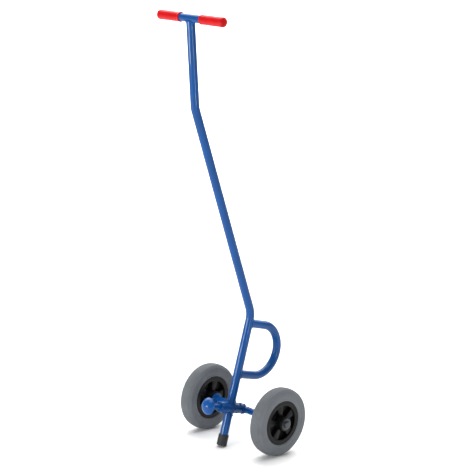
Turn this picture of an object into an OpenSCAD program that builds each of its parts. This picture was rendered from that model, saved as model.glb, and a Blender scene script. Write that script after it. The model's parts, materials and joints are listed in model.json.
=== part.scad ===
// Two-wheeled lever truck: a bent tube with a T-handle, a support loop, a rubber
// foot and a domed coupling head, carried on two solid-tyred wheels.
// +Z is up, the wheels' axle runs along X, and the coupling head points to -Y.
// The origin is on the floor, in the middle of the truck's bounding box.
// A lean is an angle from the vertical, in the YZ plane, positive towards +Y.

/* [Wheels] */
// Outer diameter of the tyres
wheel_d = 200; // [160:1:260]
// Width of the tyres at the sidewalls
tyre_w = 46; // [36:1:60]
// Radius of the tyre's shoulders
shoulder_r = 12; // [6:1:14]
// Diameter at which the tyre meets the rim
rim_d = 130; // [120:1:140]
// Width of the rim where it carries the tyre
rim_w = 37; // [32:1:46]
// Width of the rim's flat outer ring
ring_w = 13; // [8:1:18]
// Height of the ridge that locks the tyre to the rim
ridge_h = 5; // [3:1:7]
// Thickness of the closed web in the middle of the rim
web_t = 4; // [3:0.5:6]
// Number of broad spokes on each side of the web
spoke_count = 5; // [3:1:7]
// Width of a spoke at the hub
spoke_root_w = 9; // [6:1:12]
// Width of a spoke at the outer ring
spoke_tip_w = 27; // [16:1:34]
// How far the spokes lie below the outer ring's face
spoke_sink = 4; // [2:0.5:8]
// Diameter of the hub
hub_d = 42; // [38:1:48]
// Length of the hub
hub_len = 62; // [50:1:80]
// Distance between the middles of the two tyres
track = 290; // [240:1:400]

/* [Wheel bearings] */
// Diameter of the bore in the hub
race_d = 30; // [28:0.5:32]
// Length of one bearing roller
roller_len = 50; // [40:1:54]
// Number of rollers in a bearing
roller_count = 10; // [6:1:11]

/* [Axle] */
// Diameter of the axle
axle_d = 20; // [18:0.5:22]
// Diameter of the collars welded on the axle
collar_d = 36; // [33:1:40]
// Width of a collar
collar_w = 6; // [4:1:12]
// Outer diameter of the washers beside the hubs
washer_d = 34; // [32:1:38]
// Thickness of a washer
washer_t = 2; // [1.5:0.5:3]
// Diameter of the push-on cap's flange at the end of the axle
cap_d = 28; // [25:1:32]
// Thickness of the push-on cap's sheet
cap_t = 1; // [0.8:0.1:1.4]
// Length of axle inside a push-on cap
cap_grip = 5; // [4:0.5:8]

/* [Main tube] */
// Outer diameter of the main tube
tube_d = 25; // [22:0.5:27]
// Wall of the main tube
tube_wall = 2; // [1.5:0.1:3]
// Lean of the tube's lowest stretch, the leg
leg_lean = 14; // [8:0.5:20]
// Distance from the axle's centre to the leg's centre line
leg_ahead = 54; // [48:1:70]
// Length of the leg from the axle's level up to the lower bend
leg_rise = 282; // [262:1:340]
// Lean of the long middle stretch
mid_lean = -22.8; // [-30:0.1:-15]
// Length of the middle stretch
mid_len = 668; // [500:1:800]
// Lean of the top stretch
top_lean = -7.3; // [-14:0.1:0]
// Length of the top stretch
top_len = 246; // [160:1:320]
// Centre-line radius of both bends
bend_r = 65; // [50:1:100]

/* [Handle] */
// Outer diameter of the handle's cross bar
bar_d = 22; // [18:0.5:25]
// Wall of the cross bar
bar_wall = 2; // [1.5:0.1:3]
// Length of the cross bar to the left of the main tube
bar_left = 120; // [110:1:180]
// Length of the cross bar to the right of the main tube
bar_right = 128; // [110:1:180]
// Wall of the grips
grip_wall = 2.8; // [2:0.1:4]
// Length of a grip
grip_len = 87; // [80:1:95]

/* [Support loop] */
// Outer diameter of the loop's tube
loop_d = 25; // [20:0.5:26]
// Wall of the loop's tube
loop_wall = 2; // [1.5:0.1:3]
// Distance along the leg from the lower bend to the loop's upper end
loop_drop = 29; // [24:1:50]
// Centre-line radius of the loop's half-round end
loop_r = 76; // [50:1:85]
// Length of each straight end of the loop, from the leg's centre line
loop_straight = 69; // [40:1:100]

/* [Coupling] */
// Diameter of the solid boss that holds the coupling head
boss_d = 32; // [28:1:36]
// Distance from the leg's centre line to the boss's front face
boss_len = 45; // [35:1:60]
// Diameter of the head's stud
stud_d = 16; // [12:1:20]
// Length of the stud inside the boss
stud_grip = 26; // [15:1:28]
// Distance from the leg's centre line to the back of the head
head_reach = 90; // [75:1:120]
// Diameter of the head
head_d = 50; // [40:1:60]
// Height of the head's dome
dome_h = 15; // [10:1:18]
// Thickness of the head's straight rim
head_rim_t = 2; // [1:0.5:5]
// Diameter of the solid stub between leg and axle
stub_d = 30; // [27:1:32]

/* [Rubber foot] */
// Wall of the rubber foot
foot_wall = 2.5; // [2:0.1:4]
// Thickness of the foot's floor
foot_floor = 6; // [5:1:10]
// Height of the foot
foot_h = 34; // [24:1:45]
// Rounding of the foot's lower edge
foot_round = 3.5; // [1:0.5:4]

/* [Hidden] */
$fn = 96;

frame_blue = "#1a4f9c";
grip_red = "#d8131c";
tyre_grey = "#6d7378";
rim_black = "#1b1d1e";
zinc = "#b9bdc0";
foot_black = "#2b2d2e";

// The main tube's front and back end this far below the cross bar's centre line
top_trim = 6;

// The boss, the stub and the loop stop this far short of the centre lines that they are cut round
cope_trim = 2;

// Swelling of a bend's wall on each face, and its lap over the straight pieces
bend_swell = 0.1;
bend_lap = 2;

// Clearances
side_gap = 0.3;      // between a hub's end and the washer beside it
washer_gap = 0.2;    // between a washer and the axle
roll_gap = 0.1;      // between a roller and the axle or the hub's bore
cage_gap = 1.2;      // between the cage and the axle or the hub's bore
pocket_gap = 0.15;   // between a roller and its pocket in the cage

// Turn of the spokes about the axle, at which each wheel stands
spoke_turn_left = 76;
spoke_turn_right = 28;

// Places of the three bends' corners, measured with the axle above y = 0
function along(lean) = [0, sin(lean), cos(lean)];
function across(lean) = [0, cos(lean), -sin(lean)];

axle_at = [0, 0, wheel_d / 2];
leg_at = axle_at - leg_ahead * across(leg_lean);
knee = leg_at + leg_rise * along(leg_lean);
elbow = knee + mid_len * along(mid_lean);
top = elbow + top_len * along(top_lean);

// The foot's rounded lower edge touches the floor
foot_d = tube_d + 2 * foot_wall;
edge_drop = (foot_d / 2 - foot_round) * sin(leg_lean) - foot_round * cos(leg_lean) + foot_round;
foot_len = (leg_at[2] - edge_drop) / cos(leg_lean);
foot_at = leg_at - foot_len * along(leg_lean);

// The loop's upper end on the leg, and the middle of its half-round end
loop_top = knee - loop_drop * along(leg_lean);
loop_mid = loop_top - loop_r * along(leg_lean) + loop_straight * across(leg_lean);

// The bounding box's middle, from its rearmost and foremost surfaces
grip_d = bar_d + 2 * grip_wall;
back_y = max(wheel_d / 2, loop_mid[1] + loop_r + loop_d / 2);
front_y = top[1] - grip_d / 2;
mid_y = (back_y + front_y) / 2;

// Places along the axle, outwards from its middle, for one side
hub_inner = track / 2 - hub_len / 2;
hub_outer = track / 2 + hub_len / 2;
washer_inner = hub_inner - side_gap - washer_t;
collar_inner = washer_inner - collar_w;
washer_outer = hub_outer + side_gap;
cap_inner = washer_outer + washer_t;
axle_half = cap_inner + cap_grip;

// Rim and bearing
race_r = race_d / 2;
cage_end = 4;        // length of the cage past each end of the rollers
pitch_r = (axle_d / 2 + race_r) / 2;
roller_d = race_r - axle_d / 2 - 2 * roll_gap;
cage_len = roller_len + 2 * cage_end;
spoke_face = rim_w / 2 - spoke_sink;

// ---- Shared shapes ----

// Moves a piece from the axle's frame to the truck's frame
module in_frame() translate([0, -mid_y, 0]) children();

// A piece of the right side, turned round for the left side
module on_side(side) mirror([side == "left" ? 1 : 0, 0, 0]) children();

// Rod from a point along a lean
module rod(from, lean, len, d) translate(from) rotate([-lean, 0, 0]) cylinder(d = d, h = len);

// Ring-shaped section of a tube
module tube_section(d, wall) difference() {
    circle(d = d);
    circle(d = d - 2 * wall);
}

// Straight piece of tube along +Z; what it is given to carry starts at its end
module straight(len, d, wall) {
    linear_extrude(len) tube_section(d, wall);
    translate([0, 0, len]) children();
}

// Bent piece of tube that starts along +Z and turns towards +Y, or -Y where the turn is negative.
// Its wall is a hair thicker and laps the straight pieces at both ends, as a pressed bend's does.
module bend(turn, r, d, wall) {
    side = sign(turn);
    lap = bend_lap / r * 180 / PI;
    translate([0, side * r, 0]) rotate([90, 0, -90 * side]) rotate([0, 0, -lap])
        rotate_extrude(angle = abs(turn) + 2 * lap)
            translate([r, 0]) tube_section(d + 2 * bend_swell, wall + 2 * bend_swell);
    translate([0, side * r, 0]) rotate([-turn, 0, 0]) translate([0, -side * r, 0]) children();
}

// Rod from a point at right angles to a lean, towards the back where len is positive
module cross_rod(from, lean, start, end, d)
    translate(from) rotate([-lean - 90, 0, 0]) translate([0, 0, start]) cylinder(d = d, h = end - start);

// Ring or disc about the axle, from one distance along it to another
module disc(x0, x1, d) translate([x0, 0, axle_at[2]]) rotate([0, 90, 0]) cylinder(d = d, h = x1 - x0);

// Revolves a section about the axle; its x is the radius and its y runs along the axle
module spin(x) translate([x, 0, axle_at[2]]) rotate([90, 0, 90]) rotate_extrude($fn = 128) children();

// ---- Frame ----

// Three straight stretches and two bends, the top end cut to sit under the cross bar
module main_tube() color(frame_blue) in_frame()
    difference() {
        knee_cut = bend_r * tan((leg_lean - mid_lean) / 2);
        elbow_cut = bend_r * tan((top_lean - mid_lean) / 2);
        leg_len = leg_rise + foot_len - foot_floor;
        translate(foot_at + foot_floor * along(leg_lean)) rotate([-leg_lean, 0, 0])
            straight(leg_len - knee_cut, tube_d, tube_wall)
            bend(mid_lean - leg_lean, bend_r, tube_d, tube_wall)
            straight(mid_len - knee_cut - elbow_cut, tube_d, tube_wall)
            bend(top_lean - mid_lean, bend_r, tube_d, tube_wall)
            straight(top_len - elbow_cut - top_trim, tube_d, tube_wall);
        translate([-tube_d, 0, 0] + top) rotate([0, 90, 0]) cylinder(d = bar_d, h = 2 * tube_d);
    }

module crossbar() color(frame_blue) in_frame()
    translate(top) rotate([0, 90, 0])
        difference() {
            translate([0, 0, -bar_left]) cylinder(d = bar_d, h = bar_left + bar_right);
            translate([0, 0, -bar_left - 1])
                cylinder(d = bar_d - 2 * bar_wall, h = bar_left + bar_right + 2);
        }

// Closed sleeve whose floor stands against the cross bar's end, with a rounded outer end
module grip(bar_len) {
    round_r = grip_d / 4;
    open_end = bar_len + grip_wall - grip_len;
    translate(top) rotate([90, 0, 90])
        rotate_extrude()
            difference() {
                union() {
                    translate([0, open_end]) square([grip_d / 2, grip_len - round_r]);
                    translate([0, bar_len + grip_wall - round_r]) square([grip_d / 2 - round_r, round_r]);
                    intersection() {
                        translate([grip_d / 2 - round_r, bar_len + grip_wall - round_r]) circle(r = round_r);
                        translate([grip_d / 2 - round_r, bar_len + grip_wall - round_r]) square(round_r);
                    }
                }
                translate([-1, open_end - 1]) square([bar_d / 2 + 1, grip_len - grip_wall + 1]);
            }
}

module left_grip() color(grip_red) in_frame() on_side("left") grip(bar_left);
module right_grip() color(grip_red) in_frame() on_side("right") grip(bar_right);

// Bent round tube, its two ends cut to sit on the leg
module support_loop() color(frame_blue) in_frame()
    difference() {
        straight_len = loop_straight - cope_trim;
        translate(loop_top + cope_trim * across(leg_lean)) rotate([-leg_lean - 90, 0, 0])
            straight(straight_len, loop_d, loop_wall)
            bend(180, loop_r, loop_d, loop_wall)
            straight(straight_len, loop_d, loop_wall);
        rod(foot_at, leg_lean, leg_rise + foot_len, tube_d);
    }

// Rubber cap pushed over the leg's lower end
module foot_cap() color(foot_black) in_frame()
    translate(foot_at) rotate([-leg_lean, 0, 0])
        rotate_extrude()
            difference() {
                union() {
                    translate([0, foot_round]) square([foot_d / 2, foot_h - foot_round]);
                    square([foot_d / 2 - foot_round, foot_round]);
                    intersection() {
                        translate([foot_d / 2 - foot_round, foot_round]) circle(r = foot_round);
                        translate([foot_d / 2 - foot_round, 0]) square(foot_round);
                    }
                }
                translate([-1, foot_floor]) square([tube_d / 2 + 1, foot_h]);
            }

// ---- Coupling ----

// Solid round boss welded to the front of the leg, drilled for the head's stud
module coupling_boss() color(frame_blue) in_frame()
    difference() {
        cross_rod(leg_at, leg_lean, -boss_len, -cope_trim, boss_d);
        cross_rod(leg_at, leg_lean, -boss_len - 1, -boss_len + stud_grip, stud_d);
        rod(foot_at, leg_lean, leg_rise + foot_len, tube_d);
    }

// Stud, straight rim and dome, turned from one bar
module coupling_head() color(frame_blue) in_frame()
    translate(leg_at) rotate([90 - leg_lean, 0, 0]) {
        ball_r = (pow(head_d / 2, 2) + pow(dome_h, 2)) / (2 * dome_h);
        rim_top = head_reach + head_rim_t;
        rotate_extrude()
            union() {
                translate([0, boss_len - stud_grip]) square([stud_d / 2, head_reach - boss_len + stud_grip]);
                translate([0, head_reach]) square([head_d / 2, head_rim_t]);
                intersection() {
                    translate([0, rim_top + dome_h - ball_r]) circle(r = ball_r);
                    translate([0, rim_top]) square([head_d / 2, dome_h]);
                }
            }
    }

// Solid round stub between leg and axle, its ends cut to both
module axle_stub() color(frame_blue) in_frame()
    difference() {
        cross_rod(leg_at, leg_lean, cope_trim, leg_ahead - cope_trim, stub_d);
        rod(foot_at, leg_lean, leg_rise + foot_len, tube_d);
        disc(-stub_d, stub_d, axle_d);
    }

// ---- Axle and its hardware ----

module axle() color(frame_blue) in_frame() disc(-axle_half, axle_half, axle_d);

// Flat ring on the axle
module axle_ring(x0, x1, d, bore) difference() {
    disc(x0, x1, d);
    disc(x0 - 1, x1 + 1, bore);
}

module collar(side) on_side(side) axle_ring(collar_inner, collar_inner + collar_w, collar_d, axle_d);
module washer(side, x0) on_side(side) axle_ring(x0, x0 + washer_t, washer_d, axle_d + 2 * washer_gap);

module left_collar() color(frame_blue) in_frame() collar("left");
module right_collar() color(frame_blue) in_frame() collar("right");
module left_inner_washer() color(zinc) in_frame() washer("left", washer_inner);
module right_inner_washer() color(zinc) in_frame() washer("right", washer_inner);
module left_outer_washer() color(zinc) in_frame() washer("left", washer_outer);
module right_outer_washer() color(zinc) in_frame() washer("right", washer_outer);

// Push-on cap: a flange against the washer, a wall round the axle and a low dome
module axle_cap(side) on_side(side)
    spin(0)
        difference() {
            translate([0, cap_inner]) union() {
                square([cap_d / 2, cap_t]);
                square([axle_d / 2 + cap_t, cap_grip + cap_t]);
                translate([0, cap_grip + cap_t]) square([axle_d / 2 - cap_t, cap_t]);
            }
            translate([-1, cap_inner - 1]) square([axle_d / 2 + 1, cap_grip + 1]);
        }

module left_axle_cap() color(zinc) in_frame() axle_cap("left");
module right_axle_cap() color(zinc) in_frame() axle_cap("right");

// ---- Wheels ----

// Half section of the tyre: bead, bulged sidewall, rounded shoulder and crowned tread
function tyre_side() =
    let (half = tyre_w / 2, r = wheel_d / 2, sag = 1.5, steps = 8)
    [
        [rim_d / 2, rim_w / 2],
        [rim_d / 2 + 3, rim_w / 2 + 1],
        [rim_d / 2 + 8, half],
        [r - sag - shoulder_r, half],
        for (i = [1 : steps - 1])
            [r - sag - shoulder_r + shoulder_r * sin(90 * i / steps),
             half - shoulder_r + shoulder_r * cos(90 * i / steps)],
        [r - sag, half - shoulder_r],
        [r - sag / 3, (half - shoulder_r) / 2],
        [r, 0],
    ];

function flipped(points) = [for (i = [len(points) - 1 : -1 : 0]) [points[i][0], -points[i][1]]];

module tyre(side) on_side(side)
    spin(track / 2)
        difference() {
            polygon(concat(tyre_side(), flipped(tyre_side())));
            ridge_section();
        }

// Ridge round the middle of the rim, which the tyre is moulded over
module ridge_section() polygon([
    [rim_d / 2 - 2, -rim_w / 4], [rim_d / 2 + ridge_h, -rim_w / 8],
    [rim_d / 2 + ridge_h, rim_w / 8], [rim_d / 2 - 2, rim_w / 4],
]);

// Broad spoke on one face of the web, widening from the hub to the outer ring
module spoke(turn) rotate([0, 0, turn])
    translate([0, 0, web_t / 2 - 1])
        linear_extrude(spoke_face - web_t / 2 + 1)
            polygon([
                [hub_d / 2 - 3, -spoke_root_w / 2], [rim_d / 2 - ring_w + 2, -spoke_tip_w / 2],
                [rim_d / 2 - ring_w + 2, spoke_tip_w / 2], [hub_d / 2 - 3, spoke_root_w / 2],
            ]);

// Moulded rim: outer band with a ridge, closed web, spokes on both faces, and the hub
module rim(side, turn) on_side(side)
    difference() {
        union() {
            spin(track / 2) union() {
                translate([rim_d / 2 - ring_w, -rim_w / 2]) square([ring_w, rim_w]);
                translate([hub_d / 2 - 2, -web_t / 2]) square([rim_d / 2 - ring_w - hub_d / 2 + 4, web_t]);
                translate([race_r, -hub_len / 2]) square([(hub_d - race_d) / 2, hub_len]);
                ridge_section();
            }
            translate([track / 2, 0, axle_at[2]]) for (face = [0, 1])
                mirror([face, 0, 0]) rotate([90, 0, 90]) for (i = [0 : spoke_count - 1])
                    spoke(turn + 360 * i / spoke_count);
        }
        disc(0, 2 * track, race_d);
    }

module left_tyre() color(tyre_grey) in_frame() tyre("left");
module right_tyre() color(tyre_grey) in_frame() tyre("right");
module left_rim() color(rim_black) in_frame() rim("left", spoke_turn_left);
module right_rim() color(rim_black) in_frame() rim("right", spoke_turn_right);

// ---- Bearings ----

// One roller's cylinder, widened and lengthened by a gap
module roller(turn, gap)
    rotate([turn, 0, 0]) translate([track / 2 - roller_len / 2 - gap, 0, pitch_r])
        rotate([0, 90, 0]) cylinder(d = roller_d + 2 * gap, h = roller_len + 2 * gap, $fn = 32);

module rollers(side, gap = 0) on_side(side)
    translate([0, 0, axle_at[2]])
        for (i = [0 : roller_count - 1]) roller(360 * i / roller_count, gap);

// Thin sleeve between axle and hub with a pocket for each roller
module bearing_cage(side) difference() {
    on_side(side) difference() {
        disc(track / 2 - cage_len / 2, track / 2 + cage_len / 2, race_d - 2 * cage_gap);
        disc(0, 2 * track, axle_d + 2 * cage_gap);
    }
    rollers(side, pocket_gap);
}

module left_bearing_cage() color(rim_black) in_frame() bearing_cage("left");
module right_bearing_cage() color(rim_black) in_frame() bearing_cage("right");
module left_bearing_rollers() color(zinc) in_frame() rollers("left");
module right_bearing_rollers() color(zinc) in_frame() rollers("right");

main_tube();
crossbar();
left_grip();
right_grip();
support_loop();
foot_cap();
coupling_boss();
coupling_head();
axle_stub();
axle();
left_collar();
right_collar();
left_inner_washer();
right_inner_washer();
left_outer_washer();
right_outer_washer();
left_axle_cap();
right_axle_cap();
left_tyre();
right_tyre();
left_rim();
right_rim();
left_bearing_cage();
right_bearing_cage();
left_bearing_rollers();
right_bearing_rollers();
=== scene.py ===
# Looks for a two-wheeled lever truck, built round its CAD frame. All lengths are in metres.
import json
from math import cos, pi, radians, sin, sqrt, tan

import bmesh
import bpy
from bpy.props import FloatProperty, FloatVectorProperty, IntProperty, PointerProperty
from mathutils import Matrix, Vector


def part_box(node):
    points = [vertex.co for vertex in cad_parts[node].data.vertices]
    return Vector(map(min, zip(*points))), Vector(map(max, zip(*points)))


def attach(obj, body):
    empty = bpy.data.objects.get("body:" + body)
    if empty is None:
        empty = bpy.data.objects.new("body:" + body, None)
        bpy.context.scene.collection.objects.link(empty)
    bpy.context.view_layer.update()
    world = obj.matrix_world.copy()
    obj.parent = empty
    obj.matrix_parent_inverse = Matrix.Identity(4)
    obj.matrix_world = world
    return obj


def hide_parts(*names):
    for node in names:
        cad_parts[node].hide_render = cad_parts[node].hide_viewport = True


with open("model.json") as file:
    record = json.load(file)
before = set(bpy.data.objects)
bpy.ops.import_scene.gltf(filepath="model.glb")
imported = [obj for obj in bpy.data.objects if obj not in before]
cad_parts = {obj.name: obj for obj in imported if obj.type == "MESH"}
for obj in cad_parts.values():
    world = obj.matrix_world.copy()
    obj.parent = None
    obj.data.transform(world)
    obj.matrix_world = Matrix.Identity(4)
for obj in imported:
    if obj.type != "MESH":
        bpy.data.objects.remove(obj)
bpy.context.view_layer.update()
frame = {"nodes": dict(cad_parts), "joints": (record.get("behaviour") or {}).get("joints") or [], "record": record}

bl_info = {
    "name": "Lever truck",
    "version": (1, 0, 0),
    "blender": (4, 5, 0),
    "location": "3D View > Sidebar > Truck",
    "description": "Builds the visible pieces of a two-wheeled lever truck on its CAD frame",
    "category": "Object",
}

MM = 0.001
SIDES = ("left", "right")

SHARP = radians(38)      # an edge bent further than this shows as an edge
COPE = 2 * MM            # a branch stops this far short of the centre line it is cut round
TOP_TRIM = 6 * MM        # the main tube stops this far short of the cross bar's centre line
BAR_WALL = 2 * MM        # wall of the cross bar
STUD_GRIP = 26 * MM      # depth of the head's stud in the boss
BAR_GAP = 0.2 * MM       # between a washer and the axle
FOOT_H = 34 * MM         # height of the rubber foot
SPATTER_REACH = 22 * MM  # weld spatter on the leg, this far to each side of the boss's axis
SPATTER_START = -0.1     # weld spatter on the axle: where it starts along X, and how long it is
SPATTER_LEN = 0.14
SPATTER_SEED = 3
FLOOR_HALF = 30          # half the floor's side
SKY = 0.5                # strength of the light from all around

# Soft lamps: name, place, size, what it points at, power in watts
LAMPS = (
    ("left_softbox", (-0.5, -2.9, 0.55), (1.0, 0.7), (0, 0, 0.5), 56),
    ("right_softbox", (2.9, -0.75, 0.5), (0.4, 0.6), (0, 0, 0.9), 16),
    ("top_softbox", (0.3, -0.6, 3.4), (1.6, 1.6), (0, 0, 0), 34),
    ("backdrop_light", (-8.5, 8.5, 7.0), (18, 18), (-8.5, 8.5, 0), 4600),
)


def linear(code):
    """A colour written as sRGB hex, as linear red, green and blue."""
    values = [int(code[i:i + 2], 16) / 255 for i in (1, 3, 5)]
    return tuple(v / 12.92 if v <= 0.04045 else ((v + 0.055) / 1.055) ** 2.4 for v in values)


def length(name, default, description):
    return FloatProperty(name=name, default=default, min=0, precision=4, unit="LENGTH",
                         description=description)


def colour(name, code, description):
    return FloatVectorProperty(name=name, default=linear(code), size=3, min=0, max=1,
                               subtype="COLOR", description=description)


class TruckSizes(bpy.types.PropertyGroup):
    """Sizes of the pieces that are drawn here. They repeat the CAD model's own."""

    tube_d: length("Main tube", 0.025, "Outer diameter of the main tube")
    bar_d: length("Cross bar", 0.022, "Outer diameter of the cross bar")
    loop_d: length("Loop tube", 0.025, "Outer diameter of the support loop's tube")
    leg_len: length("Leg", 0.39555, "Length of the leg from the foot's end to the lower bend")
    mid_len: length("Middle", 0.668, "Length of the main tube's middle stretch")
    mid_lean: FloatProperty(name="Middle lean", default=radians(-22.8), subtype="ANGLE",
                            description="Lean of the middle stretch, positive to the back")
    bend_r: length("Bends", 0.065, "Centre-line radius of the main tube's bends")
    loop_drop: length("Loop drop", 0.029, "From the lower bend down to the loop's upper end")
    loop_r: length("Loop radius", 0.076, "Centre-line radius of the loop's half-round end")
    loop_straight: length("Loop straight", 0.069, "Length of the loop's straight ends")
    boss_d: length("Boss", 0.032, "Diameter of the boss that holds the coupling head")
    boss_len: length("Boss length", 0.045, "From the leg's centre line to the boss's face")
    stub_d: length("Stub", 0.030, "Diameter of the stub between leg and axle")
    stud_d: length("Stud", 0.016, "Diameter of the coupling head's stud")
    head_d: length("Head", 0.050, "Diameter of the coupling head")
    head_rim: length("Head rim", 0.002, "Height of the coupling head's straight rim")
    dome_h: length("Dome", 0.015, "Height of the coupling head's dome")
    axle_d: length("Axle", 0.020, "Diameter of the axle")
    foot_floor: length("Foot floor", 0.006, "Thickness of the rubber foot's floor")
    foot_wall: length("Foot wall", 0.0025, "Wall of the rubber foot")
    foot_round: length("Foot rounding", 0.0035, "Rounding of the rubber foot's lower edge")
    wheel_d: length("Wheel", 0.200, "Outer diameter of the tyres")
    tyre_w: length("Tyre", 0.046, "Width of the tyres")
    shoulder_r: length("Shoulder", 0.012, "Radius of the tyres' shoulders")
    rim_d: length("Rim", 0.130, "Diameter at which tyre and rim meet")
    rim_w: length("Rim width", 0.037, "Width of the rim")
    ring_w: length("Rim ring", 0.013, "Width of the rim's flat outer ring")
    web_t: length("Web", 0.004, "Thickness of the rim's closed web")
    hub_d: length("Hub", 0.042, "Diameter of the hub")
    bore_d: length("Hub bore", 0.030, "Diameter of the hub's bore")
    spoke_root: length("Spoke root", 0.009, "Width of a spoke at the hub")
    spoke_tip: length("Spoke tip", 0.027, "Width of a spoke at the outer ring")
    spoke_sink: length("Spoke depth", 0.004, "How far a spoke lies below the outer ring")
    spoke_count: IntProperty(name="Spokes", default=5, min=1, description="Spokes on each face")
    spoke_turn_left: FloatProperty(name="Left turn", default=radians(76), subtype="ANGLE",
                                   description="Turn of the left wheel's spokes")
    spoke_turn_right: FloatProperty(name="Right turn", default=radians(28), subtype="ANGLE",
                                    description="Turn of the right wheel's spokes")
    bead_r: length("Weld bead", 0.0026, "Radius of a weld bead")
    ripple: length("Weld ripple", 0.0024, "Distance between two ripples of a weld bead")
    drop_r: length("Spatter bead", 0.0018, "Radius of a middling bead of weld spatter")
    spatter: FloatProperty(name="Spatter", default=14000, min=0,
                           description="Beads of weld spatter to a square metre")


class TruckColours(bpy.types.PropertyGroup):
    """Colours of the finishes."""

    enamel: colour("Enamel", "#00407d", "Blue of the frame")
    vinyl: colour("Vinyl", "#b4020a", "Red of the grips")
    tyre: colour("Tyre", "#5c6064", "Grey of the tyres")
    plastic: colour("Plastic", "#070808", "Black of the rims")
    rubber: colour("Rubber", "#1c1e20", "Black of the foot")
    zinc: colour("Zinc", "#404346", "Zinc plate of washers and caps")
    steel: colour("Steel", "#b4b5b5", "Ground steel of the rollers")
    floor: colour("Floor", "#f0f0f0", "Pale studio floor")


class TruckStudio(bpy.types.PropertyGroup):
    """The camera's place, turn and lens."""

    camera_at: FloatVectorProperty(name="Camera", default=(3.0616, -3.0884, 1.5772), size=3,
                                   subtype="TRANSLATION", description="Place of the camera")
    heading: FloatProperty(name="Heading", default=radians(44.702), subtype="ANGLE",
                           description="Turn of the camera about the vertical")
    tilt: FloatProperty(name="Tilt", default=radians(12.279), subtype="ANGLE",
                        description="How far the camera looks down")
    roll: FloatProperty(name="Roll", default=radians(2.775), subtype="ANGLE",
                        description="Turn of the camera about its own line of sight")
    lens: FloatProperty(name="Lens", default=120.2, unit="CAMERA",
                        description="Focal length in millimetres for a 36 mm sensor")


# ---- Places taken from the frame ----

MOUNTS = {m["name"]: m for m in frame["record"]["mounts"]}
JOINTS = {j["name"]: j for j in frame["joints"]}
WHEEL_AT = {side: Vector(JOINTS[side + "_wheel_spin"]["pos_m"]) for side in SIDES}
OUT = {"left": Vector((-1, 0, 0)), "right": Vector((1, 0, 0))}
FOOT_AT = Vector(MOUNTS["foot_face"]["pos_m"])
HEAD_AT = Vector(MOUNTS["coupling_head"]["pos_m"])
LEG_UP = -Vector(MOUNTS["foot_face"]["axis"]).normalized()
LEG_BACK = -Vector(MOUNTS["coupling_head"]["axis"]).normalized()
ACROSS = Vector((1, 0, 0))
AXLE_AT = Vector((0, WHEEL_AT["right"].y, WHEEL_AT["right"].z))
LEG_AT = FOOT_AT + (AXLE_AT - FOOT_AT).dot(LEG_UP) * LEG_UP
BOX = {name: [Vector(corner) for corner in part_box(name)] for name in frame["nodes"]}
TOP_AT = (BOX["crossbar"][0] + BOX["crossbar"][1]) / 2
TOP_AT.x = 0


def lean(angle):
    """Unit vector that leans from the vertical towards the back."""
    return Vector((0, sin(angle), cos(angle)))


def corners(s):
    """The main tube's corners from its lower end to the cross bar."""
    knee = FOOT_AT + s.leg_len * LEG_UP
    elbow = knee + s.mid_len * lean(s.mid_lean)
    return FOOT_AT + s.foot_floor * LEG_UP, knee, elbow, TOP_AT


# ---- Shapes ----

def arc(corner, before, after, radius, steps):
    """Points of the arc that rounds a corner of a path."""
    ahead, on = (corner - before).normalized(), (after - corner).normalized()
    turn = ahead.angle(on)
    start = corner - radius * tan(turn / 2) * ahead
    side = (on - on.dot(ahead) * ahead).normalized()
    centre = start + radius * side
    return [centre + radius * (sin(turn * i / steps) * ahead - cos(turn * i / steps) * side)
            for i in range(steps + 1)]


def rounded(points, radii, steps=5, closed=False):
    """A path with each corner rounded by its own radius; a radius of 0 keeps the corner."""
    path = []
    for i, (point, radius) in enumerate(zip(points, radii)):
        if radius == 0 or (not closed and i in (0, len(points) - 1)):
            path.append(point)
        else:
            path += arc(point, points[i - 1], points[(i + 1) % len(points)], radius, steps)
    return path


def outline(*rows, steps=5, closed=True):
    """A turned piece's section from rows of (radius, distance along the axis, rounding)."""
    points = [Vector((radius, along, 0)) for radius, along, _ in rows]
    path = rounded(points, [row[2] for row in rows], steps, closed)
    return [(point.x, point.y) for point in path]


def turned(section, origin, axis, around=96):
    """Mesh made by turning a section about an axis. It closes on itself, or at two poles."""
    side = Vector((0, 0, 1)) if abs(axis.z) < 0.9 else Vector((0, 1, 0))
    side = (side - side.dot(axis) * axis).normalized()
    other = axis.cross(side)
    made = bmesh.new()
    rings = []
    for radius, along in section:
        count = around if radius > 1e-7 else 1
        rings.append([made.verts.new(origin + along * axis
                                     + radius * (cos(2 * pi * i / count) * side
                                                 + sin(2 * pi * i / count) * other))
                      for i in range(count)])
    pairs = list(zip(rings, rings[1:]))
    if len(rings[0]) > 1:
        pairs.append((rings[-1], rings[0]))
    for low, high in pairs:
        for i in range(around):
            j = (i + 1) % around
            face = [low[i % len(low)], low[j % len(low)], high[j % len(high)], high[i % len(high)]]
            made.faces.new(list(dict.fromkeys(face)))
    return to_mesh(made)


def to_mesh(made):
    """A bmesh as a plain mesh: doubles merged, faces pointing outwards."""
    bmesh.ops.remove_doubles(made, verts=made.verts, dist=1e-7)
    bmesh.ops.recalc_face_normals(made, faces=made.faces)
    mesh = bpy.data.meshes.new("piece")
    made.to_mesh(mesh)
    made.free()
    return mesh


def joined(meshes):
    """Several meshes as one. Their materials are not carried over."""
    made = bmesh.new()
    for mesh in meshes:
        made.from_mesh(mesh)
    whole = bpy.data.meshes.new("piece")
    made.to_mesh(whole)
    made.free()
    return whole


def evaluated(obj):
    """The plain mesh of an object with its modifiers applied. The object is removed."""
    bpy.context.view_layer.update()
    ready = obj.evaluated_get(bpy.context.evaluated_depsgraph_get())
    mesh = bpy.data.meshes.new_from_object(ready)
    bpy.data.objects.remove(obj)
    return mesh


def placed(name, data):
    """A new object in the scene."""
    obj = bpy.data.objects.new(name, data)
    bpy.context.scene.collection.objects.link(obj)
    return obj


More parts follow.
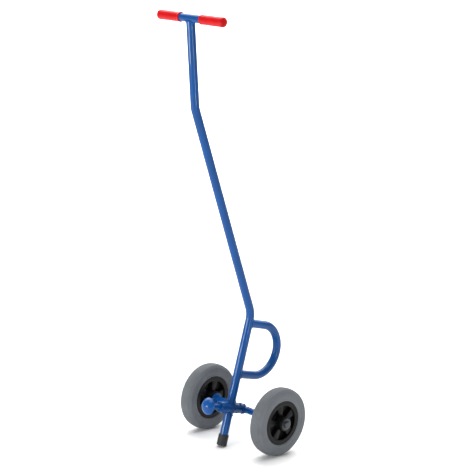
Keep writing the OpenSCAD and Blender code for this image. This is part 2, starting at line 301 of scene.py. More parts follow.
def rod(start, axis, long, diameter):
    """Plain closed cylinder."""
    return turned([(0, 0), (diameter / 2, 0), (diameter / 2, long), (0, long)], start, axis)


def piece(name, mesh, body, slot, material, *nodes):
    """Makes a finished piece of a mesh: shaded, painted, riding on its body, for its nodes."""
    made = bmesh.new()
    made.from_mesh(mesh)
    for face in made.faces:
        face.smooth = True
        face.material_index = 0
    for edge in made.edges:
        edge.smooth = len(edge.link_faces) == 2 and edge.calc_face_angle(0) < SHARP
    made.to_mesh(mesh)
    made.free()
    mesh.materials.clear()
    mesh.materials.append(material)
    mesh.name = name
    obj = placed(name, mesh)
    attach(obj, body)
    if nodes:
        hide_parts(*nodes)


# ---- Node trees ----

def put(tree, kind, inputs=(), **settings):
    """Adds one node. inputs maps a socket's name or number to a value or to a socket."""
    node = tree.nodes.new(kind)
    for key, value in settings.items():
        setattr(node, key, value)
    for key, value in dict(inputs).items():
        if isinstance(value, bpy.types.NodeSocket):
            tree.links.new(value, node.inputs[key])
        else:
            node.inputs[key].default_value = value
    return node


def geometry_tree(name, sockets):
    """A Geometry Nodes tree with named inputs, and its group input node."""
    tree = bpy.data.node_groups.new(name, "GeometryNodeTree")
    tree.interface.new_socket("Geometry", in_out="OUTPUT", socket_type="NodeSocketGeometry")
    tree.interface.new_socket("Geometry", in_out="INPUT", socket_type="NodeSocketGeometry")
    for socket, kind in sockets.items():
        tree.interface.new_socket(socket, in_out="INPUT", socket_type="NodeSocket" + kind)
    return tree, put(tree, "NodeGroupInput")


def close_tree(tree, geometry, material):
    """Ends a tree in Realize Instances and Set Material."""
    real = put(tree, "GeometryNodeRealizeInstances", {"Geometry": geometry})
    dressed = put(tree, "GeometryNodeSetMaterial",
                  {"Geometry": real.outputs[0], "Material": material})
    put(tree, "NodeGroupOutput", {"Geometry": dressed.outputs[0]})


def swept_tube_tree():
    """Round tube along a path, closed at both ends."""
    tree, given = geometry_tree("swept_tube", {
        "Radius": "Float", "Sides": "Int", "Material": "Material"})
    ring = put(tree, "GeometryNodeCurvePrimitiveCircle", {
        "Resolution": given.outputs["Sides"], "Radius": given.outputs["Radius"]})
    tube = put(tree, "GeometryNodeCurveToMesh", {
        "Curve": given.outputs["Geometry"], "Profile Curve": ring.outputs[0], "Fill Caps": True})
    close_tree(tree, tube.outputs[0], given.outputs["Material"])
    return tree


def weld_bead_tree():
    """A core along a path with overlapping ripples on it, each a little different."""
    tree, given = geometry_tree("weld_bead", {
        "Radius": "Float", "Ripple": "Float", "Seed": "Int", "Material": "Material"})
    path = given.outputs["Geometry"]
    radius = given.outputs["Radius"]
    core_r = put(tree, "ShaderNodeMath", {0: radius, 1: 0.78}, operation="MULTIPLY")
    ring = put(tree, "GeometryNodeCurvePrimitiveCircle",
               {"Resolution": 10, "Radius": core_r.outputs[0]})
    core = put(tree, "GeometryNodeCurveToMesh", {"Curve": path, "Profile Curve": ring.outputs[0]})
    spots = put(tree, "GeometryNodeCurveToPoints",
                {"Curve": path, "Length": given.outputs["Ripple"]}, mode="LENGTH")
    ball = put(tree, "GeometryNodeMeshUVSphere",
               {"Segments": 14, "Rings": 8, "Radius": radius})
    coin = put(tree, "GeometryNodeTransform",
               {"Geometry": ball.outputs[0], "Scale": (1.0, 1.0, 0.6)})
    size = put(tree, "FunctionNodeRandomValue",
               {2: 0.88, 3: 1.14, "Seed": given.outputs["Seed"]}, data_type="FLOAT")
    ripples = put(tree, "GeometryNodeInstanceOnPoints", {
        "Points": spots.outputs["Points"], "Instance": coin.outputs[0],
        "Rotation": spots.outputs["Rotation"], "Scale": size.outputs[1]})
    both = put(tree, "GeometryNodeJoinGeometry")
    tree.links.new(core.outputs[0], both.inputs[0])
    tree.links.new(ripples.outputs[0], both.inputs[0])
    close_tree(tree, both.outputs[0], given.outputs["Material"])
    return tree


def spatter_tree():
    """Small beads of weld metal strewn over surfaces."""
    tree, given = geometry_tree("spatter", {
        "Density": "Float", "Radius": "Float", "Seed": "Int", "Material": "Material"})
    strewn = put(tree, "GeometryNodeDistributePointsOnFaces", {
        "Mesh": given.outputs["Geometry"], "Density": given.outputs["Density"],
        "Seed": given.outputs["Seed"]})
    ball = put(tree, "GeometryNodeMeshUVSphere",
               {"Segments": 8, "Rings": 5, "Radius": given.outputs["Radius"]})
    size = put(tree, "FunctionNodeRandomValue",
               {2: 0.35, 3: 1.5, "Seed": given.outputs["Seed"]}, data_type="FLOAT")
    beads = put(tree, "GeometryNodeInstanceOnPoints", {
        "Points": strewn.outputs["Points"], "Instance": ball.outputs[0],
        "Scale": size.outputs[1]})
    close_tree(tree, beads.outputs[0], given.outputs["Material"])
    return tree


def spoke_ring_tree():
    """Copies a spoke round a hub, on both faces of the web. The hub's axis is X."""
    tree, given = geometry_tree("spoke_ring", {
        "Count": "Int", "Turn": "Float", "Centre": "Vector", "Material": "Material"})
    back = put(tree, "GeometryNodeTransform",
               {"Geometry": given.outputs["Geometry"], "Rotation": (0.0, 0.0, pi)})
    pair = put(tree, "GeometryNodeJoinGeometry")
    tree.links.new(given.outputs["Geometry"], pair.inputs[0])
    tree.links.new(back.outputs[0], pair.inputs[0])
    spots = put(tree, "GeometryNodePoints", {"Count": given.outputs["Count"]})
    step = put(tree, "ShaderNodeMath", {0: 2 * pi, 1: given.outputs["Count"]}, operation="DIVIDE")
    number = put(tree, "GeometryNodeInputIndex")
    turn = put(tree, "ShaderNodeMath",
               {0: number.outputs[0], 1: step.outputs[0], 2: given.outputs["Turn"]},
               operation="MULTIPLY_ADD")
    about = put(tree, "ShaderNodeCombineXYZ", {"X": turn.outputs[0]})
    copies = put(tree, "GeometryNodeInstanceOnPoints", {
        "Points": spots.outputs[0], "Instance": pair.outputs[0], "Rotation": about.outputs[0]})
    moved = put(tree, "GeometryNodeTransform",
                {"Geometry": copies.outputs[0], "Translation": given.outputs["Centre"]})
    close_tree(tree, moved.outputs[0], given.outputs["Material"])
    return tree


def grown(data, tree, **values):
    """The plain mesh that a Geometry Nodes tree makes of a mesh or curve."""
    obj = placed("seed", data)
    modifier = obj.modifiers.new("grow", "NODES")
    modifier.node_group = tree
    for item in tree.interface.items_tree:
        if item.in_out == "INPUT" and item.name in values:
            modifier[item.identifier] = values[item.name]
    return evaluated(obj)


def path_curve(points, cyclic=False):
    """Curve of straight pieces through points."""
    curve = bpy.data.curves.new("path", "CURVE")
    curve.dimensions = "3D"
    spline = curve.splines.new("POLY")
    spline.points.add(len(points) - 1)
    for spot, point in zip(spline.points, points):
        spot.co = (*point, 1)
    spline.use_cyclic_u = cyclic
    return curve


# ---- Materials ----

def per_mm(size):
    """Texture scale at which a pattern repeats about every so many millimetres."""
    return 1000 / size


def shade(rgb, factor):
    """A colour made lighter or darker, with alpha."""
    return (*(min(1, v * factor) for v in rgb), 1)


def finish(name, rgb, variation, grain, shader, extra=None):
    """Material with slow colour drift and fine surface grain under a Principled shader.

    variation is (size in mm, darkest factor, lightest factor); grain is (size in mm, height
    in mm, octaves); extra(tree, place, colour) may lay one more pattern over the colour.
    """
    material = bpy.data.materials.new(name)
    material.use_nodes = True
    tree = material.node_tree
    tree.nodes.clear()
    place = put(tree, "ShaderNodeTexCoord").outputs["Object"]
    drift = put(tree, "ShaderNodeTexNoise",
                {"Vector": place, "Scale": per_mm(variation[0]), "Detail": 3.0})
    spread = put(tree, "ShaderNodeMapRange",
                 {0: drift.outputs[0], 1: 0.32, 2: 0.68, 3: 0.0, 4: 1.0})
    tint = put(tree, "ShaderNodeMix", {0: spread.outputs[0], 6: shade(rgb, variation[1]),
                                       7: shade(rgb, variation[2])}, data_type="RGBA")
    base = tint.outputs[2]
    if extra:
        base = extra(tree, place, base)
    fine = put(tree, "ShaderNodeTexNoise",
               {"Vector": place, "Scale": per_mm(grain[0]), "Detail": grain[2]})
    bump = put(tree, "ShaderNodeBump",
               {"Height": fine.outputs[0], "Distance": grain[1] * MM, "Strength": 1.0})
    rough = put(tree, "ShaderNodeMapRange", {
        0: spread.outputs[0], 1: 0.0, 2: 1.0,
        3: shader["Roughness"] * 0.9, 4: shader["Roughness"] * 1.12})
    settings = {key: value for key, value in shader.items() if key != "Roughness"}
    settings.update({"Base Color": base, "Roughness": rough.outputs[0],
                     "Normal": bump.outputs[0]})
    body = put(tree, "ShaderNodeBsdfPrincipled", settings)
    put(tree, "ShaderNodeOutputMaterial", {"Surface": body.outputs[0]})
    return material


def about_axle(tree, place):
    """Distance from the axle's centre line."""
    moved = put(tree, "ShaderNodeMapping", {
        "Vector": place, "Location": (0, -AXLE_AT.y, -AXLE_AT.z), "Scale": (0, 1, 1)})
    return put(tree, "ShaderNodeVectorMath", {0: moved.outputs[0]}, operation="LENGTH").outputs[1]


def sprayed_enamel(c):
    # Alkyd enamel sprayed over welded steel: deep wet blue with a faint orange peel.
    return finish("sprayed_blue_enamel", c.enamel, (70, 0.9, 1.1), (2.6, 0.02, 1.0), {
        "Roughness": 0.42, "IOR": 1.5, "Specular IOR Level": 0.08, "Coat Weight": 0.35,
        "Coat Roughness": 0.03, "Coat IOR": 1.5})


def dipped_vinyl(c):
    # PVC grip, dipped and cured: saturated red, a soft thick gloss with shallow ripples.
    return finish("dipped_red_vinyl", c.vinyl, (24, 0.92, 1.06), (5.0, 0.07, 2.0), {
        "Roughness": 0.4, "IOR": 1.53, "Specular IOR Level": 0.08, "Coat Weight": 0.2,
        "Coat Roughness": 0.12,
        "Subsurface Weight": 0.02, "Subsurface Radius": (0.004, 0.001, 0.001),
        "Subsurface Scale": 0.5})


def moulded_tyre(c):
    # Grey non-marking solid rubber, moulded: dull, with bloom that lightens the bead.
    def bloom(tree, place, base):
        radius = about_axle(tree, place)
        edge = put(tree, "ShaderNodeMapRange", {0: radius, 1: 0.066, 2: 0.076, 3: 0.42, 4: 0.0})
        dust = put(tree, "ShaderNodeTexNoise",
                   {"Vector": place, "Scale": per_mm(9), "Detail": 4.0})
        amount = put(tree, "ShaderNodeMath",
                     {0: edge.outputs[0], 1: dust.outputs[0]}, operation="MULTIPLY")
        mixed = put(tree, "ShaderNodeMix", {0: amount.outputs[0], 6: base,
                                            7: shade(c.tyre, 1.9)}, data_type="RGBA")
        return mixed.outputs[2]
    return finish("moulded_grey_rubber", c.tyre, (35, 0.9, 1.1), (0.9, 0.05, 3.0), {
        "Roughness": 0.62, "IOR": 1.52, "Specular IOR Level": 0.3}, bloom)


def moulded_plastic(c):
    # Black polypropylene, injection moulded in an eroded tool: satin with a fine even grain.
    return finish("moulded_black_polypropylene", c.plastic, (18, 0.8, 1.25), (0.8, 0.04, 2.0), {
        "Roughness": 0.42, "IOR": 1.49, "Specular IOR Level": 0.15})


def cage_plastic(c):
    # Black nylon, injection moulded: a little glossier than the rim.
    return finish("moulded_black_nylon", c.plastic, (12, 0.9, 1.2), (0.8, 0.02, 2.0), {
        "Roughness": 0.33, "IOR": 1.53})


def moulded_foot(c):
    # Black rubber, compression moulded: dull and slightly chalky.
    return finish("moulded_black_rubber", c.rubber, (10, 0.8, 1.3), (0.7, 0.06, 3.0), {
        "Roughness": 0.6, "IOR": 1.52, "Specular IOR Level": 0.3})


def rings(tree, place, base):
    """Fine turned rings round the axle, darker in their hollows as painted shade."""
    radius = about_axle(tree, place)
    wave = put(tree, "ShaderNodeMath", {0: radius, 1: 2 * pi * per_mm(0.8)}, operation="MULTIPLY")
    crest = put(tree, "ShaderNodeMath", {0: wave.outputs[0]}, operation="SINE")
    amount = put(tree, "ShaderNodeMapRange",
                 {0: crest.outputs[0], 1: -1.0, 2: 1.0, 3: 0.0, 4: 0.22})
    # the dark grey mixed in is painted shade in the hollows of the rings
    mixed = put(tree, "ShaderNodeMix", {0: amount.outputs[0], 6: base,
                                        7: (0.12, 0.12, 0.13, 1)}, data_type="RGBA")
    return mixed.outputs[2]


def plated_zinc(c):
    # Steel, turned and zinc plated: a grey mirror broken by tool rings, darkened in their hollows with painted
    # shade. Real rings are finer than these 0.8 mm, which are drawn as coarse as they need to be to show.
    return finish("turned_zinc_plated_steel", c.zinc, (6, 0.8, 1.12), (0.6, 0.01, 2.0), {
        "Roughness": 0.3, "Metallic": 1.0}, rings)


def ground_steel(c):
    # Bearing steel, ground: bright, with faint blotches of oil.
    return finish("ground_bearing_steel", c.steel, (8, 0.85, 1.1), (0.5, 0.004, 2.0), {
        "Roughness": 0.2, "Metallic": 1.0})


def studio_floor(c):
    # Matt paper roll: pale, with no pattern that shows.
    return finish("matt_paper_floor", c.floor, (400, 0.995, 1.0), (2.0, 0.01, 1.0), {
        "Roughness": 0.9, "IOR": 1.45, "Specular IOR Level": 0.1})


FINISHES = {
    "frame_paint": sprayed_enamel, "grip_vinyl": dipped_vinyl, "foot_rubber": moulded_foot,
    "tyre_rubber": moulded_tyre, "rim_plastic": moulded_plastic, "zinc_steel": plated_zinc,
    "cage_plastic": cage_plastic, "roller_steel": ground_steel, "floor": studio_floor,
}
made_finishes = {}


def finish_for(slot):
    """The material of a slot, made once."""
    if slot not in made_finishes:
        made_finishes[slot] = FINISHES[slot](bpy.context.scene.truck_colours)
    return made_finishes[slot]


def frame_piece(name, mesh, slot, *nodes):
    """A piece that rides on the frame."""
    piece(name, mesh, "frame", slot, finish_for(slot), *nodes)


# ---- Sections and paths ----

def grip_section(s, node, out):
    """Closed sleeve with a rolled lip at its open end and a full round at the outer end."""
    low, high = BOX[node]
    radius, long = (high.z - low.z) / 2, high.x - low.x
    wall = radius - s.bar_d / 2
    start = min(low.x * out, high.x * out)
    return outline(
        (0, start + long - wall, 0), (s.bar_d / 2, start + long - wall, 0),
        (s.bar_d / 2, start, 0.6 * MM), (radius, start, 1.2 * MM),
        (radius, start + 3 * MM, 1.5 * MM), (radius - 0.5 * MM, start + 5.5 * MM, 3 * MM),
        (radius - 0.3 * MM, start + long - 14 * MM, 8 * MM),
        (radius, start + long - 8 * MM, 0),
        (radius, start + long, 0.48 * radius), (0, start + long, 0),
        steps=8, closed=False)


def tyre_section(s):
    """Bead, raised lip, bulged sidewall, round shoulder, and a crown with fine grooves."""
    half, radius, sag = s.tyre_w / 2, s.wheel_d / 2, 1.5 * MM
    crown = half - s.shoulder_r
    groove_w, groove_h, pitch, rows = 2.0 * MM, 1.2 * MM, 4.1 * MM, 9

    def surface(at):
        """Point of the tread at a distance from its middle, and which way it faces."""
        far = max(0, abs(at) - crown) / s.shoulder_r
        sign = 1 if at > 0 else -1
        height = radius - sag * min(1, abs(at) / crown) ** 2 - s.shoulder_r * (1 - cos(far))
        across = min(abs(at), crown) + s.shoulder_r * sin(far)
        return Vector((height, sign * across)), Vector((cos(far), sign * sin(far)))

    dips = [(i - (rows - 1) / 2) * pitch for i in range(rows)]
    stops = {dip + k * groove_w / 4: (1 - (k / 2) ** 2) * groove_h
             for dip in dips for k in range(-2, 3)}
    stops.update({sign * (crown + s.shoulder_r * pi / 2 * t): 0.0
                  for sign in (-1, 1) for t in (0.72, 0.79, 0.86, 0.93, 1.0)})
    tread = []
    for at in sorted(stops):
        point, facing = surface(at)
        tread.append(tuple(point - stops[at] * facing))
    bead = s.rim_d / 2
    wall = [(bead, s.rim_w / 2, 0), (bead + 1.2 * MM, half - 3.4 * MM, 0.8 * MM),
            (bead + 4.2 * MM, half - 0.9 * MM, 1.6 * MM),
            (bead + 6.6 * MM, half - 1.9 * MM, 1.6 * MM),
            (bead + 13 * MM, half, 8 * MM), (tread[-1][0], half, 0)]
    upper = outline(*wall, closed=False)[:-1]
    lower = [(r, -x) for r, x in upper]
    return lower + tread + upper[::-1]


def rim_section(s):
    """Outer band, closed web and hub, with drafted walls and rounded edges."""
    low, high = BOX["right_rim"]
    half, web, hub = s.rim_w / 2, s.web_t / 2, (high.x - low.x) / 2
    band, ring = s.rim_d / 2 - 0.05 * MM, s.rim_d / 2 - s.ring_w
    right = [
        (s.bore_d / 2, hub, 0.5 * MM), (s.hub_d / 2 - 0.4 * MM, hub, 1.2 * MM),
        (s.hub_d / 2 + 0.6 * MM, web, 2 * MM), (ring, web, 2 * MM),
        (ring - 1.0 * MM, half - 0.4 * MM, 0.9 * MM), (ring + 3 * MM, half, 0.4 * MM),
        (band, half, 0.5 * MM)]
    left = [(r, -x, rounding) for r, x, rounding in right]
    return outline(*right, *left[::-1])


def spoke_mesh(s):
    """One broad spoke along +Z with drafted sides, its back sunk in the web."""
    low, high = s.web_t / 4, s.rim_w / 2 - s.spoke_sink
    root, tip = s.hub_d / 2 - 2 * MM, s.rim_d / 2 - s.ring_w + 2 * MM
    draft = 1.3 * MM
    rows = [(root, s.spoke_root / 2), (tip, s.spoke_tip / 2)]
    made = bmesh.new()
    ends = []
    for along, half in rows:
        ends.append([made.verts.new(p) for p in (
            (low, -half - draft, along), (high, -half, along), (high + 0.5 * MM, 0, along),
            (high, half, along), (low, half + draft, along))])
    for i in range(5):
        j = (i + 1) % 5
        made.faces.new((ends[0][i], ends[0][j], ends[1][j], ends[1][i]))
    made.faces.new(ends[0])
    made.faces.new(ends[1])
    spoke = placed("spoke", to_mesh(made))
    bevel = spoke.modifiers.new("bevel", "BEVEL")
    bevel.width = 0.9 * MM
    bevel.segments = 3
    bevel.limit_method = "ANGLE"
    bevel.angle_limit = radians(25)
    return evaluated(spoke)


def saddle(centre, branch, main, branch_r, main_r, trim, steps=72):
    """Path of the weld where a branch meets a main bar; the axes cross at the centre."""
    side = branch.cross(main).normalized()
    deepest = sqrt(main_r ** 2 - trim ** 2) if trim < main_r else main_r
    widest = (deepest + branch_r) / 2 if branch_r > deepest else branch_r
    path = []
    for i in range(steps):
        turn = 2 * pi * i / steps
        aside = max(-widest, min(widest, branch_r * sin(turn)))
        out = sqrt(max(main_r ** 2 - aside ** 2, trim ** 2))
        path.append(centre + out * branch + branch_r * cos(turn) * main + aside * side)
    return path


def hoop(centre, axis, radius, steps=64):
    """Round path about an axis."""
    side = axis.orthogonal().normalized()
    other = axis.cross(side)
    return [centre + radius * (cos(2 * pi * i / steps) * side + sin(2 * pi * i / steps) * other)
            for i in range(steps)]


def weld_paths(s):
    """Every welded joint of the frame."""
    _, knee, elbow, top = corners(s)
    down = (elbow - top).normalized()
    tube_r, axle_r = s.tube_d / 2, s.axle_d / 2
    loop_high = knee - s.loop_drop * LEG_UP
    loop_low = loop_high - 2 * s.loop_r * LEG_UP
    paths = [
        saddle(top, down, ACROSS, tube_r, s.bar_d / 2, TOP_TRIM),
        saddle(LEG_AT, -LEG_BACK, LEG_UP, s.boss_d / 2, tube_r, COPE),
        saddle(LEG_AT, LEG_BACK, LEG_UP, s.stub_d / 2, tube_r, COPE),
        saddle(AXLE_AT, -LEG_BACK, ACROSS, s.stub_d / 2, axle_r, COPE),
        saddle(loop_high, LEG_BACK, LEG_UP, s.loop_d / 2, tube_r, 2 * COPE),
        saddle(loop_low, LEG_BACK, LEG_UP, s.loop_d / 2, tube_r, 2 * COPE),
    ]
    for side in SIDES:
        low, high = BOX[side + "_collar"]
        inner = low.x if side == "right" else high.x
        paths.append(hoop(Vector((inner, AXLE_AT.y, AXLE_AT.z)), ACROSS, axle_r + 1 * MM))
    return paths


# ---- Operators ----

class TruckOperator:
    """Shared by the truck's operators: gives the sizes."""

    bl_options = {"REGISTER", "UNDO"}

    def execute(self, context):
        self.build(context.scene.truck_sizes)
        return {"FINISHED"}


class TRUCK_OT_tubes(TruckOperator, bpy.types.Operator):
    """Main tube, support loop and cross bar"""

    bl_idname = "truck.tubes"
    bl_label = "Frame tubes"

    def build(self, s):
        tree = swept_tube_tree()
        paint = finish_for("frame_paint")
        start, knee, elbow, top = corners(s)
        end = top - TOP_TRIM * (top - elbow).normalized()
        path = rounded([start, knee, elbow, end], [0, s.bend_r, s.bend_r, 0], steps=28)
        tube = grown(path_curve(path), tree, Radius=s.tube_d / 2, Sides=72, Material=paint)
        frame_piece("main_tube_shell", tube, "frame_paint", "main_tube")

        high = knee - s.loop_drop * LEG_UP
        centre = high - s.loop_r * LEG_UP + s.loop_straight * LEG_BACK
        bow = [centre + s.loop_r * (cos(pi * i / 48) * LEG_UP + sin(pi * i / 48) * LEG_BACK)
               for i in range(49)]
        low = high - 2 * s.loop_r * LEG_UP
        loop = grown(path_curve([high, *bow, low]), tree,
                     Radius=s.loop_d / 2, Sides=64, Material=paint)
        frame_piece("support_loop_shell", loop, "frame_paint", "support_loop")

        low_x, high_x = BOX["crossbar"][0].x, BOX["crossbar"][1].x
        outer, inner = s.bar_d / 2, s.bar_d / 2 - BAR_WALL
        section = outline((inner, low_x, 0.3 * MM), (outer, low_x, 0.5 * MM),
                          (outer, high_x, 0.5 * MM), (inner, high_x, 0.3 * MM))
        frame_piece("cross_bar_tube", turned(section, top, ACROSS), "frame_paint", "crossbar")


class TRUCK_OT_coupling(TruckOperator, bpy.types.Operator):
    """Boss, domed head with its stud, and the stub to the axle"""

    bl_idname = "truck.coupling"
    bl_label = "Coupling"

    def build(self, s):
        boss = outline((0, COPE, 0), (s.boss_d / 2, COPE, 0),
                       (s.boss_d / 2, s.boss_len, 3 * MM), (s.stud_d / 2, s.boss_len, 0),
                       (s.stud_d / 2, s.boss_len - STUD_GRIP, 0), (0, s.boss_len - STUD_GRIP, 0),
                       closed=False)
        frame_piece("coupling_boss_bar", turned(boss, LEG_AT, -LEG_BACK),
                    "frame_paint", "coupling_boss")

        radius, back = s.head_d / 2, (HEAD_AT - LEG_AT).length
        dome_r = radius - 0.8 * MM
        ball = (dome_r ** 2 + s.dome_h ** 2) / (2 * s.dome_h)
        rim = back + s.head_rim
        steps = 20
        radii = [dome_r * sin(pi / 2 * i / steps) for i in range(steps, -1, -1)]
        dome = [(r, rim + sqrt(ball ** 2 - r ** 2) - ball + s.dome_h) for r in radii]
        stud = outline((0, s.boss_len - STUD_GRIP, 0), (s.stud_d / 2, s.boss_len - STUD_GRIP, 0),
                       (s.stud_d / 2, back, 2.2 * MM), (radius, back, 0.7 * MM),
                       (radius, rim, 0.7 * MM), (dome_r, rim, 0), closed=False)
        frame_piece("coupling_head_dome", turned(stud + dome, LEG_AT, -LEG_BACK, around=128),
                    "frame_paint", "coupling_head")

        reach = (AXLE_AT - LEG_AT).length
        stub = rod(LEG_AT + COPE * LEG_BACK, LEG_BACK, reach - 2 * COPE, s.stub_d)
        frame_piece("axle_stub_bar", stub, "frame_paint", "axle_stub")


class TRUCK_OT_axle(TruckOperator, bpy.types.Operator):
    """Axle, collars, washers and push-on caps"""

    bl_idname = "truck.axle"
    bl_label = "Axle and its hardware"

    def build(self, s):
        half, radius = BOX["axle"][1].x, s.axle_d / 2
        bar = outline((0, -half, 0), (radius, -half, 0.8 * MM), (radius, half, 0.8 * MM),
                      (0, half, 0), closed=False)
        frame_piece("axle_bar", turned(bar, AXLE_AT, ACROSS), "frame_paint", "axle")
        for side in SIDES:
            self.ring(side, "collar", radius, 0.8 * MM, "frame_paint")
            self.ring(side, "inner_washer", radius + BAR_GAP, 0.35 * MM, "zinc_steel")
            self.ring(side, "outer_washer", radius + BAR_GAP, 0.35 * MM, "zinc_steel")
            self.cap(side, s)

    def ring(self, side, what, bore, edge, slot):
        low, high = BOX[f"{side}_{what}"]
        outer = (high.z - low.z) / 2
        section = outline((bore, low.x, 0), (outer, low.x, edge), (outer, high.x, edge),
                          (bore, high.x, 0))
        frame_piece(f"{side}_{what}_ring", turned(section, AXLE_AT, ACROSS), slot,
                    f"{side}_{what}")

    def cap(self, side, s):
        low, high = BOX[side + "_axle_cap"]
        flange, sheet, grip = (high.z - low.z) / 2, 1 * MM, s.axle_d / 2
        start = min(abs(low.x), abs(high.x))
        end = max(abs(low.x), abs(high.x))
        section = outline(
            (0, end - 2 * sheet, 0), (grip, end - 2 * sheet, 0), (grip, start, 0),
            (flange, start, 0.3 * MM), (flange, start + sheet, 0.5 * MM),
            (grip + sheet, start + sheet, 0.9 * MM), (grip + sheet, end - sheet, 0.9 * MM),
            (grip - 2 * sheet, end, 2.5 * MM), (0, end, 0), closed=False)
        frame_piece(side + "_push_on_cap", turned(section, AXLE_AT, OUT[side]), "zinc_steel",
                    side + "_axle_cap")


class TRUCK_OT_grips(TruckOperator, bpy.types.Operator):
    """Red sleeves on the cross bar's ends"""

    bl_idname = "truck.grips"
    bl_label = "Grips"

    def build(self, s):
        for side in SIDES:
            section = grip_section(s, side + "_grip", OUT[side].x)
            frame_piece(side + "_vinyl_sleeve", turned(section, TOP_AT, OUT[side]),
                        "grip_vinyl", side + "_grip")


class TRUCK_OT_foot(TruckOperator, bpy.types.Operator):
    """Rubber cap on the leg's lower end"""

    bl_idname = "truck.foot"
    bl_label = "Foot"

    def build(self, s):
        inner, high = s.tube_d / 2, FOOT_H
        outer = inner + s.foot_wall
        section = outline(
            (0, 0, 0), (outer, 0, s.foot_round), (outer, high - 4 * MM, 1.5 * MM),
            (outer - 0.5 * MM, high - 3.2 * MM, 0.3 * MM), (outer - 0.5 * MM, high, 0.8 * MM),
            (inner, high, 0.4 * MM), (inner, s.foot_floor, 0), (0, s.foot_floor, 0),
            closed=False)
        frame_piece("rubber_foot", turned(section, FOOT_AT, LEG_UP), "foot_rubber", "foot_cap")


class TRUCK_OT_tyres(TruckOperator, bpy.types.Operator):
    """Solid tyres with fine grooves round the tread"""

    bl_idname = "truck.tyres"
    bl_label = "Tyres"

    def build(self, s):
        for side in SIDES:
            mesh = turned(tyre_section(s), WHEEL_AT[side], OUT[side], around=176)
            piece(side + "_solid_tyre", mesh, side + "_wheel", "tyre_rubber",
                  finish_for("tyre_rubber"), side + "_tyre")


class TRUCK_OT_rims(TruckOperator, bpy.types.Operator):
    """Moulded rims with broad spokes on both faces"""

    bl_idname = "truck.rims"
    bl_label = "Rims"

    def build(self, s):
        tree = spoke_ring_tree()
        plastic = finish_for("rim_plastic")
        turns = {"left": s.spoke_turn_left, "right": s.spoke_turn_right}
        for side in SIDES:
            hub = turned(rim_section(s), WHEEL_AT[side], OUT[side], around=144)
            spokes = grown(spoke_mesh(s), tree, Count=s.spoke_count,
                           Turn=turns[side] - pi / 2, Centre=WHEEL_AT[side], Material=plastic)
            piece(side + "_moulded_rim", joined([hub, spokes]), side + "_wheel", "rim_plastic",
                  plastic, side + "_rim")


class TRUCK_OT_bearings(TruckOperator, bpy.types.Operator):
    """Finishes of the cages and rollers inside the hubs"""

    bl_idname = "truck.bearings"
    bl_label = "Bearings"

    def build(self, s):
        for side in SIDES:
            for what, slot in (("cage", "cage_plastic"), ("rollers", "roller_steel")):
                mesh = frame["nodes"][f"{side}_bearing_{what}"].data
                mesh.materials.clear()
                mesh.materials.append(finish_for(slot))


class TRUCK_OT_welds(TruckOperator, bpy.types.Operator):
    """Rippled beads along every welded joint, and the spatter round the boss"""

    bl_idname = "truck.welds"
    bl_label = "Weld beads"

    def build(self, s):
        tree = weld_bead_tree()
        paint = finish_for("frame_paint")
        beads = [grown(path_curve(path, cyclic=True), tree, Radius=s.bead_r, Ripple=s.ripple,
                       Seed=number, Material=paint)
                 for number, path in enumerate(weld_paths(s))]
        frame_piece("weld_beads", joined(beads), "frame_paint")
        near = joined([
            rod(LEG_AT - SPATTER_REACH * LEG_UP, LEG_UP, 2 * SPATTER_REACH, s.tube_d),
            rod(LEG_AT, -LEG_BACK, s.boss_len, s.boss_d),
            rod(LEG_AT, LEG_BACK, (AXLE_AT - LEG_AT).length, s.stub_d),
            rod(AXLE_AT + SPATTER_START * ACROSS, ACROSS, SPATTER_LEN, s.axle_d),
        ])
        spatter = grown(near, spatter_tree(), Density=s.spatter, Radius=s.drop_r,
                        Seed=SPATTER_SEED, Material=paint)
        frame_piece("weld_spatter", spatter, "frame_paint")


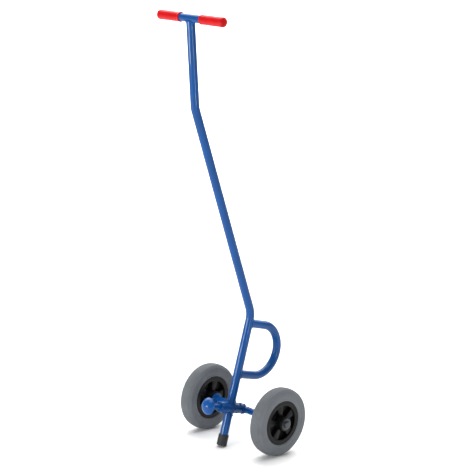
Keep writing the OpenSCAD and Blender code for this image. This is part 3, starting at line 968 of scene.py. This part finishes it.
class TRUCK_OT_stage(TruckOperator, bpy.types.Operator):
    """Pale floor, soft lights and the camera"""

    bl_idname = "truck.stage"
    bl_label = "Stage"

    def build(self, s):
        self.floor()
        self.world()
        for lamp in LAMPS:
            self.lamp(*lamp)
        self.camera(bpy.context.scene.truck_studio)

    def floor(self):
        made = bmesh.new()
        bmesh.ops.create_grid(made, x_segments=1, y_segments=1, size=FLOOR_HALF)
        mesh = bpy.data.meshes.new("floor")
        made.to_mesh(mesh)
        made.free()
        mesh.materials.append(finish_for("floor"))
        placed("floor", mesh)

    def world(self):
        world = bpy.data.worlds.new("studio")
        world.use_nodes = True
        world.node_tree.nodes.clear()
        sky = put(world.node_tree, "ShaderNodeBackground",
                  {"Color": (1, 1, 1, 1), "Strength": SKY})
        put(world.node_tree, "ShaderNodeOutputWorld", {"Surface": sky.outputs[0]})
        bpy.context.scene.world = world

    def lamp(self, name, place, size, target, power):
        light = bpy.data.lights.new(name, "AREA")
        light.shape = "RECTANGLE"
        light.size, light.size_y = size
        light.energy = power
        obj = placed(name, light)
        obj.location = place
        aim = Vector(target) - Vector(place)
        obj.rotation_euler = aim.to_track_quat("-Z", "Y").to_euler()

    def camera(self, studio):
        data = bpy.data.cameras.new("camera")
        data.lens = studio.lens
        data.sensor_width = 36
        data.clip_end = 100
        obj = placed("camera", data)
        turn = (Matrix.Rotation(studio.heading, 4, "Z")
                @ Matrix.Rotation(pi / 2 - studio.tilt, 4, "X")
                @ Matrix.Rotation(studio.roll, 4, "Z"))
        obj.matrix_world = Matrix.Translation(studio.camera_at) @ turn
        bpy.context.scene.camera = obj
        bpy.context.scene.view_settings.view_transform = "Standard"


OPERATORS = (
    TRUCK_OT_stage, TRUCK_OT_tubes, TRUCK_OT_coupling, TRUCK_OT_axle, TRUCK_OT_grips,
    TRUCK_OT_foot, TRUCK_OT_tyres, TRUCK_OT_rims, TRUCK_OT_bearings, TRUCK_OT_welds,
)


class TRUCK_PT_panel(bpy.types.Panel):
    """Lists the truck's operators"""

    bl_idname = "TRUCK_PT_panel"
    bl_label = "Lever truck"
    bl_space_type = "VIEW_3D"
    bl_region_type = "UI"
    bl_category = "Truck"

    def draw(self, context):
        for operator in OPERATORS:
            self.layout.operator(operator.bl_idname)


GROUPS = {"truck_sizes": TruckSizes, "truck_colours": TruckColours, "truck_studio": TruckStudio}
CLASSES = (*GROUPS.values(), *OPERATORS, TRUCK_PT_panel)


def register():
    for cls in CLASSES:
        bpy.utils.register_class(cls)
    for name, group in GROUPS.items():
        setattr(bpy.types.Scene, name, PointerProperty(type=group))


def unregister():
    for name in GROUPS:
        delattr(bpy.types.Scene, name)
    for cls in reversed(CLASSES):
        bpy.utils.unregister_class(cls)


def main():
    register()
    for operator in OPERATORS:
        getattr(bpy.ops.truck, operator.bl_idname.split(".")[1])()
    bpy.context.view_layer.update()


if __name__ == "__main__":
    main()
